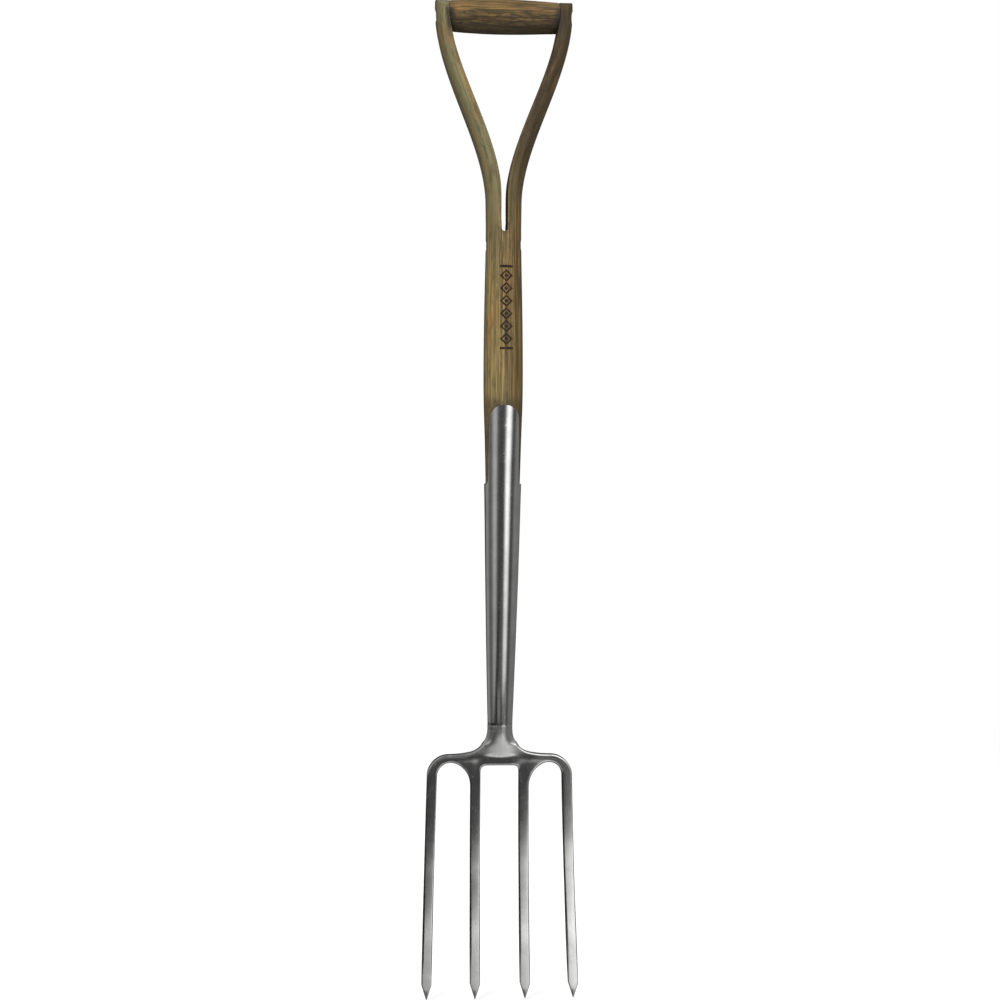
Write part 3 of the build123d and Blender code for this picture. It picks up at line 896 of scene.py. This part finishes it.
# ---------------------------------------------------------------- material nodes
class Nodes:
    """Short way to write a node tree."""

    def __init__(self, tree):
        self.tree = tree

    def add(self, kind, **settings):
        node = self.tree.nodes.new(kind)
        for name, value in settings.items():
            setattr(node, name, value)
        return node

    def put(self, socket, value):
        """Links or sets an input, whichever the value calls for."""
        if isinstance(value, bpy.types.NodeSocket):
            self.tree.links.new(value, socket)
        elif isinstance(value, (tuple, list)) and len(value) == 3 and socket.type == "RGBA":
            socket.default_value = (*value, 1)
        else:
            socket.default_value = value

    def math(self, operation, a, b=0.0):
        node = self.add("ShaderNodeMath", operation=operation)
        self.put(node.inputs[0], a)
        self.put(node.inputs[1], b)
        return node.outputs[0]

    def plus(self, a, b):
        return self.math("ADD", a, b)

    def minus(self, a, b):
        return self.math("SUBTRACT", a, b)

    def times(self, a, b):
        return self.math("MULTIPLY", a, b)

    def band(self, value, low, high, out_low=0.0, out_high=1.0):
        """Smooth step from out_low to out_high as the value goes from low to high."""
        node = self.add("ShaderNodeMapRange", interpolation_type="SMOOTHSTEP")
        for socket, item in zip(node.inputs, (value, low, high, out_low, out_high)):
            self.put(socket, item)
        return node.outputs[0]

    def mix(self, share, a, b):
        """a where share is 0, b where it is 1."""
        node = self.add("ShaderNodeMix", data_type="RGBA")
        node.clamp_factor = True
        self.put(node.inputs[0], share)
        self.put(node.inputs[6], a)
        self.put(node.inputs[7], b)
        return node.outputs[2]

    def scaled(self, vector, scale):
        node = self.add("ShaderNodeVectorMath", operation="MULTIPLY")
        self.put(node.inputs[0], vector)
        node.inputs[1].default_value = scale
        return node.outputs[0]

    def noise(self, vector, scale=1.0, detail=3.0, roughness=0.55, distortion=0.0):
        node = self.add("ShaderNodeTexNoise")
        self.put(node.inputs["Vector"], vector)
        node.inputs["Scale"].default_value = scale
        node.inputs["Detail"].default_value = detail
        node.inputs["Roughness"].default_value = roughness
        node.inputs["Distortion"].default_value = distortion
        return node.outputs[0]

    def grained(self, grain, scale, steps, detail=3.0, roughness=0.55):
        """Noise drawn out along the grain, as a step; scale is (sideways, lengthwise)."""
        place = self.scaled(grain, (scale[0], scale[0], scale[1]))
        return self.band(self.noise(place, detail=detail, roughness=roughness), *steps)

    def layers(self, base, *coats):
        """base with each (share, colour) coat laid over it in turn."""
        for share, colour in coats:
            base = self.mix(share, base, colour)
        return base

    def split(self, vector):
        node = self.add("ShaderNodeSeparateXYZ")
        self.put(node.inputs[0], vector)
        return node.outputs

    def bump(self, height, strength, distance):
        node = self.add("ShaderNodeBump")
        node.inputs["Strength"].default_value = strength
        node.inputs["Distance"].default_value = distance
        self.put(node.inputs["Height"], height)
        return node.outputs[0]

    def glow(self, kind, strength):
        """White light of one strength: kind is Background or Emission."""
        node = self.add("ShaderNode" + kind)
        self.put(node.inputs["Color"], (1.0, 1.0, 1.0))
        self.put(node.inputs["Strength"], strength)
        return node.outputs[0]

    def blend(self, share, a, b):
        """Shader a where share is 0, shader b where it is 1."""
        node = self.add("ShaderNodeMixShader")
        for socket, item in zip(node.inputs, (share, a, b)):
            self.put(socket, item)
        return node.outputs[0]

    def attribute(self, name):
        return self.add("ShaderNodeAttribute", attribute_name=name)


def new_material(name):
    """Empty material, its node writer and its shader."""
    material = bpy.data.materials.new(name)
    material.use_nodes = True
    tree = material.node_tree
    return material, Nodes(tree), tree.nodes["Principled BSDF"]


def wood_pattern(n, grain):
    """Ring lines, fibre streaks and pores of ash, from the place in the wood in millimetres."""
    across, deep, _ = n.split(grain)
    drift = n.noise(n.scaled(grain, (0.02, 0.02, 0.004)), detail=2.0)
    u = n.plus(across, n.times(drift, 16))
    v = n.plus(deep, 34.0)
    u = n.plus(u, 11.0)
    ring = n.math("SQRT", n.plus(n.times(u, u), n.times(v, v)))
    wobble = n.noise(n.scaled(grain, (0.25, 0.25, 0.012)), detail=2.0)
    ring = n.plus(ring, n.times(wobble, 1.6))
    part = n.math("FRACT", n.math("DIVIDE", ring, 2.7))
    early = n.band(part, 0.0, 0.55, 1.0, 0.0)
    early = n.times(early, n.band(part, 0.0, 0.08, 0.0, 1.0))
    fibre = n.grained(grain, (0.5, 0.012), (0.39, 0.61), detail=5.0, roughness=0.7)
    pores = n.grained(grain, (4.2, 0.22), (0.56, 0.72), detail=2.0, roughness=0.6)
    pores = n.times(pores, n.plus(n.times(early, 0.85), 0.15))
    return early, fibre, pores


def burnt_ornament(n, grain):
    """Chain of lozenges between two bars, burnt into the front of the shaft."""
    across, deep, along = n.split(grain)
    low, high = 652.0, 727.0
    pitch = 12.5
    place = n.math("DIVIDE", n.minus(along, low), pitch)
    run = n.math("ABSOLUTE", n.minus(n.math("FRACT", place), 0.5))
    run = n.times(run, pitch)
    side = n.math("ABSOLUTE", n.minus(across, 1.5))
    reach = n.plus(n.math("DIVIDE", side, 6.4), n.math("DIVIDE", run, 6.4))
    outline = n.math("ABSOLUTE", n.minus(reach, 0.8))
    lozenge = n.band(outline, 0.17, 0.26, 1.0, 0.0)
    heart = n.band(reach, 0.32, 0.42, 1.0, 0.0)
    mark = n.math("MAXIMUM", lozenge, heart)
    inside = n.band(along, low - 0.3, low + 0.3)
    inside = n.times(inside, n.band(along, high - 0.3, high + 0.3, 1.0, 0.0))
    mark = n.times(mark, inside)
    for place_of_bar in (low - 3.0, high + 3.0):
        away = n.math("ABSOLUTE", n.minus(along, place_of_bar))
        bar = n.band(away, 1.0, 1.5, 1.0, 0.0)
        bar = n.times(bar, n.band(side, 6.2, 6.8, 1.0, 0.0))
        mark = n.math("MAXIMUM", mark, bar)
    front = n.band(deep, -6.0, -3.0, 1.0, 0.0)
    uneven = n.grained(grain, (0.9, 0.35), (0.3, 0.5, 0.55, 1.0))
    return n.times(n.times(mark, front), uneven)


# colours of the wood, linear
PALE_FIBRE, DARK_FIBRE, DARK_RING = (0.31, 0.195, 0.056), (0.07, 0.042, 0.012), (0.062, 0.034, 0.01)
GRIP_PALE_FIBRE, GRIP_DARK_FIBRE = (0.2, 0.125, 0.038), (0.055, 0.034, 0.01)
GRIP_DARK_RING = (0.045, 0.024, 0.007)
BROWN_STREAK, WEATHERED_GREY = (0.045, 0.032, 0.012), (0.12, 0.112, 0.05)
# the two arm tints on the next line are painted light and shade, as if lit from the left
LIT_LEFT_ARM_GREY, SHADED_RIGHT_ARM_BROWN = (0.13, 0.13, 0.07), (0.034, 0.021, 0.007)
# the last tint on the next line is painted shade where the surface turns away
# the middle tint on the next line is painted shade for the arms' outer sides
STAIN, ARM_RIM_SHADE, PAINTED_EDGE_SHADE = (0.045, 0.036, 0.018), (0.045, 0.038, 0.02), (0.035, 0.027, 0.014)
RED_HEART, GRIP_RED_HEART = (0.2, 0.09, 0.028), (0.22, 0.1, 0.035)
PORE, GRIP_PORE, CHARRED = (0.028, 0.018, 0.008), (0.03, 0.02, 0.01), (0.013, 0.006, 0.003)
# the first tint on the next line is painted shade for the handle's corners, the fork of the split and
# the straps
# the last tint on the next line is painted shade at the grip's ends
# the middle tint on the next line is painted shade for the grip's underside
PAINTED_SHADE_TINT, GRIP_UNDERSIDE_SHADE, GRIP_END_SHADE = (0.03, 0.022, 0.013), (0.024, 0.018, 0.009), (0.012, 0.012, 0.009)


def finish_wood(n, shader, base, rough, height, shine):
    """Puts a wood's colour, roughness, relief and shine on its shader."""
    n.put(shader.inputs["Base Color"], base)
    n.put(shader.inputs["Roughness"], rough)
    n.put(shader.inputs["Normal"], n.bump(height, 0.6, 0.00022))
    n.put(shader.inputs["Specular IOR Level"], shine)


def ash_material():
    """Oiled ash with the burnt mark; the left arm is painted lighter and greyer and the right one
    darker brown, as painted light from the left.
    """
    material, n, shader = new_material("ash")
    grain = n.attribute("grain").outputs["Vector"]
    painted_shade = n.attribute("painted_shade").outputs["Fac"]
    across, _, along = n.split(grain)
    early, fibre, pores = wood_pattern(n, grain)
    streaks = n.grained(grain, (0.45, 0.01), (0.5, 0.62), detail=4.0, roughness=0.65)
    weathered = n.grained(grain, (0.05, 0.006), (0.42, 0.62), detail=4.0, roughness=0.6)
    red = n.grained(grain, (0.09, 0.02), (0.55, 0.68))
    stain = n.noise(n.scaled(grain, (0.16, 0.16, 0.035)), detail=5.0, roughness=0.7)
    # painted light and shade: the left arm lighter and greyer, the right one darker brown, as if lit
    # from the left
    raised = n.band(along, 770.0, 860.0)
    left = n.times(n.band(across, 2.0, -9.0), n.plus(n.times(raised, 0.4), 0.2))
    right = n.times(n.band(across, -2.5, 4.5), n.plus(n.times(raised, 0.6), 0.4))
    right = n.times(right, n.band(stain, 0.38, 0.6, 1.0, 0.8))
    # painted shade on the outer sides of the arms, where their round sections turn away
    rim = n.times(n.band(n.math("ABSOLUTE", across), 11.0, 18.0), raised)
    # painted shade: darker where the surface turns away from the view
    turned = n.add("ShaderNodeLayerWeight").outputs["Facing"]
    mark = burnt_ornament(n, grain)
    base = n.layers(
        n.mix(fibre, DARK_FIBRE, PALE_FIBRE),
        (n.times(early, 0.7), DARK_RING),
        (n.times(streaks, 0.52), BROWN_STREAK),
        (n.times(weathered, 0.4), WEATHERED_GREY),
        (left, LIT_LEFT_ARM_GREY),
        (right, SHADED_RIGHT_ARM_BROWN),
        (n.band(stain, 0.5, 0.64, 0.0, 0.6), STAIN),
        (n.times(rim, 0.7), ARM_RIM_SHADE),
        (n.times(red, 0.4), RED_HEART),
        (n.band(turned, 0.45, 0.95, 0.0, 0.6), PAINTED_EDGE_SHADE),
        (n.times(pores, 0.8), PORE),
        (n.times(mark, 0.97), CHARRED),
        # painted shade against the grip, in the fork of the split and above the straps
        (n.times(painted_shade, n.grained(grain, (0.35, 0.12), (0.25, 0.6, 0.35, 0.95), detail=4.0)), PAINTED_SHADE_TINT),
    )
    rough = n.plus(n.plus(n.times(fibre, 0.2), 0.42), n.times(mark, 0.2))
    height = n.minus(n.times(fibre, 0.4), n.times(pores, 0.9))
    height = n.minus(height, n.times(early, 0.25))
    height = n.minus(height, n.times(mark, 2.2))
    finish_wood(n, shader, base, rough, height, 0.35)
    return material


def grip_material():
    """Ash with its grain along the grip, painted darker on its underside as shade."""
    material, n, shader = new_material("grip_ash")
    grain = n.attribute("grain").outputs["Vector"]
    painted_shade = n.attribute("painted_shade").outputs["Fac"]
    up = n.split(grain)[0]
    early, fibre, pores = wood_pattern(n, grain)
    red = n.grained(grain, (0.14, 0.03), (0.52, 0.64))
    # painted shade: the lower half of the grip is darker, with ragged patches where it turns away from
    # the light above
    ragged = n.noise(n.scaled(grain, (0.3, 0.3, 0.07)), detail=4.0)
    edge = n.plus(up, n.times(ragged, 9.0))
    patches = n.grained(grain, (0.6, 0.11), (0.36, 0.62, 0.95, 0.3), detail=5.0, roughness=0.7)
    base = n.layers(
        n.mix(fibre, GRIP_DARK_FIBRE, GRIP_PALE_FIBRE),
        (n.times(early, 0.6), GRIP_DARK_RING),
        (n.times(red, 0.4), GRIP_RED_HEART),
        (n.times(n.band(edge, 9.5, 5.0), patches), GRIP_UNDERSIDE_SHADE),
        (n.band(edge, 0.0, -8.0, 0.0, 0.7), GRIP_UNDERSIDE_SHADE),
        (n.times(pores, 0.7), GRIP_PORE),
        # painted shade at the grip's ends beside the arms
        (n.times(painted_shade, 0.92), GRIP_END_SHADE),
    )
    rough = n.plus(n.times(fibre, 0.25), 0.38)
    height = n.minus(n.times(fibre, 0.4), n.times(pores, 0.9))
    finish_wood(n, shader, base, rough, height, 0.3)
    return material


def shade(colour, share):
    """Darker version of a colour."""
    return tuple(c * share for c in colour)


def steel_material(name, colour, roughness, line_scale, wear=0.0, dull_from=2000):
    """Brushed steel: fine lines along line_scale's longest direction, smudges and small scratches.

    It is duller above the height dull_from, in millimetres.
    """
    material, n, shader = new_material(name)
    place = n.scaled(n.add("ShaderNodeNewGeometry").outputs["Position"], (1000, 1000, 1000))
    lines = n.noise(n.scaled(place, line_scale), detail=5.0, roughness=0.75)
    cloud = n.noise(place, scale=0.045, detail=4.0, roughness=0.6)
    smudge = n.noise(place, scale=0.16, detail=5.0, roughness=0.65, distortion=0.6)
    scratch = n.noise(n.scaled(place, (1.9, 1.9, 0.16)), detail=2.0, distortion=0.3)
    scratch = n.band(scratch, 0.66, 0.7)
    base = n.mix(n.band(cloud, 0.35, 0.65), shade(colour, 0.86), colour)
    base = n.mix(n.times(n.band(lines, 0.35, 0.6, 1.0, 0.0), 0.1), base, shade(colour, 0.6))
    base = n.mix(n.times(n.band(smudge, 0.55, 0.72), 0.1 + wear), base, shade(colour, 0.45))
    n.put(shader.inputs["Base Color"], base)
    dull = n.band(n.split(place)[2], dull_from, dull_from + 6.0, 0.0, 0.17)
    rough = n.plus(n.times(lines, 0.06), roughness - 0.03)
    rough = n.plus(rough, dull)
    rough = n.plus(rough, n.times(n.band(smudge, 0.5, 0.75), 0.06 + wear))
    n.put(shader.inputs["Roughness"], n.plus(rough, n.times(scratch, 0.1)))
    height = n.minus(lines, n.times(scratch, 0.6))
    n.put(shader.inputs["Normal"], n.bump(height, 0.08, 0.00001))
    shader.inputs["Metallic"].default_value = 1.0
    return material


# ---------------------------------------------------------------- studio
FLOOR_HEIGHT = -0.6  # just under the tine points


def reflected_studio(n, direction):
    """Soft boxes and dark cards round the fork, as its steel sees them."""
    x, y, z = n.split(direction)
    turn = n.math("ARCTAN2", x, n.times(y, -1.0))
    turn = n.times(turn, 180 / math.pi)
    rise = n.times(n.math("ARCSINE", z), 180 / math.pi)
    # the strip box leans to the right towards its top
    turn = n.minus(turn, n.times(n.band(rise, -8.0, 0.0), 7.0))
    ramp = n.add("ShaderNodeFloatCurve")
    # (angle round the fork, brightness): grey cards left and right, a bright strip box in front
    points = ((-180, 0.05), (-160, 0.1), (-146, 0.3), (-124, 0.38), (-90, 0.25), (-55, 0.5),
              (-33, 0.2), (-12, 0.14), (0, 0.19), (8, 0.42), (16, 0.74), (25, 0.86), (37, 0.74),
              (46, 0.4), (56, 0.18), (83, 0.34), (108, 0.32), (140, 0.3), (160, 0.1), (180, 0.05))
    line = ramp.mapping.curves[0]
    line.points[0].location = (0, points[0][1])
    line.points[1].location = (1, points[-1][1])
    for angle, level in points[1:-1]:
        line.points.new((angle + 180) / 360, level)
    for point in line.points:
        point.handle_type = "AUTO_CLAMPED"
    ramp.mapping.update()
    n.put(ramp.inputs["Value"], n.math("DIVIDE", n.plus(turn, 180.0), 360.0))
    level = n.math("POWER", ramp.outputs[0], 2.0)
    level = n.times(level, 2.1)
    level = n.times(level, n.band(rise, -32.0, -8.0, 0.15, 1.0))
    # a pale floor card, and a soft box high in front
    low_card = n.times(n.band(rise, -15.0, -26.0), 0.12)
    high_box = n.times(n.band(rise, 4.0, 18.0), n.band(turn, -14.0, 8.0, 0.1, 0.7))
    high_box = n.times(high_box, n.band(turn, 75.0, 45.0, 0.2, 1.0))
    return n.plus(level, n.plus(low_card, high_box))


def build_world():
    """White to the camera, soft frontal light for the wood, a studio for the steel to reflect."""
    world = bpy.data.worlds.new("studio")
    bpy.context.scene.world = world
    world.use_nodes = True
    tree = world.node_tree
    tree.nodes.clear()
    n = Nodes(tree)
    direction = n.add("ShaderNodeTexCoord").outputs["Generated"]
    path = n.add("ShaderNodeLightPath")
    _, y, z = n.split(direction)
    # soft light comes from the front and from above, so round pieces darken towards their sides
    soft = n.plus(n.band(y, -0.3, -1.0, 0.04, 1.5), n.times(n.band(z, 0.15, 0.9), 1.1))
    soft = n.glow("Background", soft)
    shiny = n.glow("Background", reflected_studio(n, direction))
    lit = n.blend(path.outputs["Is Glossy Ray"], soft, shiny)
    seen = n.blend(path.outputs["Is Camera Ray"], lit, n.glow("Background", 1.0))
    out = n.add("ShaderNodeOutputWorld")
    n.put(out.inputs["Surface"], seen)


def build_floor():
    """Pale floor that fades into the background far from the fork."""
    rings = np.concatenate([[0], np.geomspace(50, 5000, 24)])
    steps = 64
    turn = np.linspace(0, 2 * np.pi, steps, endpoint=False)
    points = [(0.0, 0.0, FLOOR_HEIGHT)]
    faces = []
    for radius in rings[1:]:
        points.extend((radius * math.cos(a), radius * math.sin(a), FLOOR_HEIGHT) for a in turn)
    faces.extend([0, 1 + i, 1 + (i + 1) % steps] for i in range(steps))
    for row in range(len(rings) - 2):
        for i in range(steps):
            j = (i + 1) % steps
            low = 1 + row * steps
            faces.append([low + i, low + steps + i, low + steps + j, low + j])
    floor = make_object("floor", points, faces)
    material, n, shader = new_material("pale_floor")
    place = n.add("ShaderNodeNewGeometry").outputs["Position"]
    x, y, _ = n.split(place)
    reach = n.math("SQRT", n.plus(n.times(x, x), n.times(y, y)))
    mottle = n.noise(place, scale=3.0, detail=2.0)
    n.put(shader.inputs["Base Color"], n.mix(mottle, (0.93, 0.93, 0.93), (0.96, 0.96, 0.96)))
    shader.inputs["Roughness"].default_value = 0.9
    clear = n.add("ShaderNodeBsdfTransparent").outputs[0]
    faded = n.blend(n.band(reach, 0.5, 3.0), shader.outputs[0], clear)
    n.put(material.node_tree.nodes["Material Output"].inputs["Surface"], faded)
    floor.data.materials.append(material)
    floor.visible_glossy = False


def stage_card(name, corners, brightness):
    """Glowing card that only the steel sees; brightness works its strength out from the place."""
    card = make_object(name, corners, [[0, 1, 2, 3]], smooth=False)
    material, n, _ = new_material(name)
    spot = n.split(n.add("ShaderNodeNewGeometry").outputs["Position"])
    glow = n.glow("Emission", brightness(n, *spot))
    n.put(material.node_tree.nodes["Material Output"].inputs["Surface"], glow)
    card.data.materials.append(material)
    card.visible_camera = False
    card.visible_diffuse = False
    card.visible_shadow = False


def build_front_card():
    """Low card before the tines: bright at the bottom and on the right, nearly black at its top."""

    def brightness(n, x, _, z):
        edge = n.minus(z, n.times(x, 0.12))
        low = n.times(n.band(x, -0.12, 0.2, 0.57, 1.22), n.band(edge, 0.128, 0.08))
        low = n.times(low, n.band(z, 0.045, 0.07, 0.8, 1.0))
        high = n.times(n.band(x, 0.0, -0.03), n.band(z, 0.18, 0.2, 0.0, 0.18))
        return n.plus(low, n.plus(high, n.band(x, 0.03, 0.12, 0.05, 0.15)))

    corners = [(-120, -200, -70), (200, -200, -70), (200, -200, 225), (-120, -200, 225)]
    stage_card("front_card", corners, brightness)


def build_side_card():
    """Black card on the left that keeps the left edges of the tines dark."""
    corners = [(-300, -900, 0), (-299, 500, 0), (-299, 500, 180), (-300, -900, 180)]
    stage_card("side_card", corners, lambda n, x, y, z: 0.02)


def build_lamp(name, place, size, power, target=(0, 0, 0.5)):
    """Soft box that points at the fork."""
    lamp = bpy.data.lights.new(name, "AREA")
    lamp.shape = "RECTANGLE"
    lamp.size, lamp.size_y = size
    lamp.energy = power
    obj = bpy.data.objects.new(name, lamp)
    bpy.context.scene.collection.objects.link(obj)
    obj.location = place
    obj.rotation_euler = (Vector(target) - Vector(place)).to_track_quat("-Z", "Y").to_euler()
    obj.visible_glossy = False
    obj.visible_camera = False
    return obj


def build_camera():
    """Just left of the fork's front and level with its middle, as in the photo."""
    data = bpy.data.cameras.new("camera")
    data.sensor_width = 36
    data.lens = 36 * 1.7571
    camera = bpy.data.objects.new("camera", data)
    bpy.context.scene.collection.objects.link(camera)
    yaw, pitch, roll = (math.radians(a) for a in (4.53, 0.95, 0.128))
    ahead = Vector((math.sin(yaw) * math.cos(pitch), math.cos(yaw) * math.cos(pitch), math.sin(pitch)))
    turn = ahead.to_track_quat("-Z", "Y").to_matrix().to_4x4()
    tilt = Matrix.Rotation(roll, 4, "Z")
    camera.matrix_world = Matrix.Translation((-0.1406, -1.75, 0.471)) @ turn @ tilt
    bpy.context.scene.camera = camera


# ---------------------------------------------------------------- the fork
def add_piece(obj, material, node):
    """Gives a finished piece its material and ties it to the CAD."""
    obj.data.materials.clear()
    obj.data.materials.append(material)
    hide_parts(node)
    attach(obj, "root")


ash = ash_material()
grip_wood = grip_material()
socket_steel = steel_material("polished_steel", (0.74, 0.74, 0.73), 0.17, (1.2, 1.2, 0.02))
head_steel = steel_material("forged_steel", (0.72, 0.72, 0.71), 0.15, (1.2, 1.2, 0.04), 0.02, 242)
rivet_steel = steel_material("rivet_steel", (0.5, 0.49, 0.47), 0.42, (1.5, 1.5, 1.5), 0.15)
strap_rivet_steel = steel_material("strap_rivet_steel", (0.73, 0.73, 0.72), 0.18, (1.2, 1.2, 0.1))
weld_steel = steel_material("weld_steel", (0.66, 0.66, 0.64), 0.33, (0.5, 0.5, 3.0), 0.08)

add_piece(build_handle(), ash, "ash_handle")
add_piece(build_grip(), grip_wood, "grip")
add_piece(build_socket(), socket_steel, "socket")
add_piece(build_head(), head_steel, "head")
add_piece(build_weld(), weld_steel, "neck_weld")
for rivet in STRAP_RIVETS:
    add_piece(build_strap_rivet(rivet), strap_rivet_steel, rivet)
for rivet in ROD_RADIUS:
    add_piece(build_cross_rivet(rivet), rivet_steel, rivet)
    add_piece(build_washers(rivet), rivet_steel, rivet + "_washers")

build_world()
build_floor()
build_lamp("key", (-1.4, -2.2, 1.7), (1.2, 1.6), 38)
build_lamp("fill", (1.8, -1.8, 0.9), (1.2, 1.8), 9)
build_lamp("top", (0.3, 0.4, 2.4), (1.6, 1.2), 12)
build_front_card()
build_side_card()
build_camera()
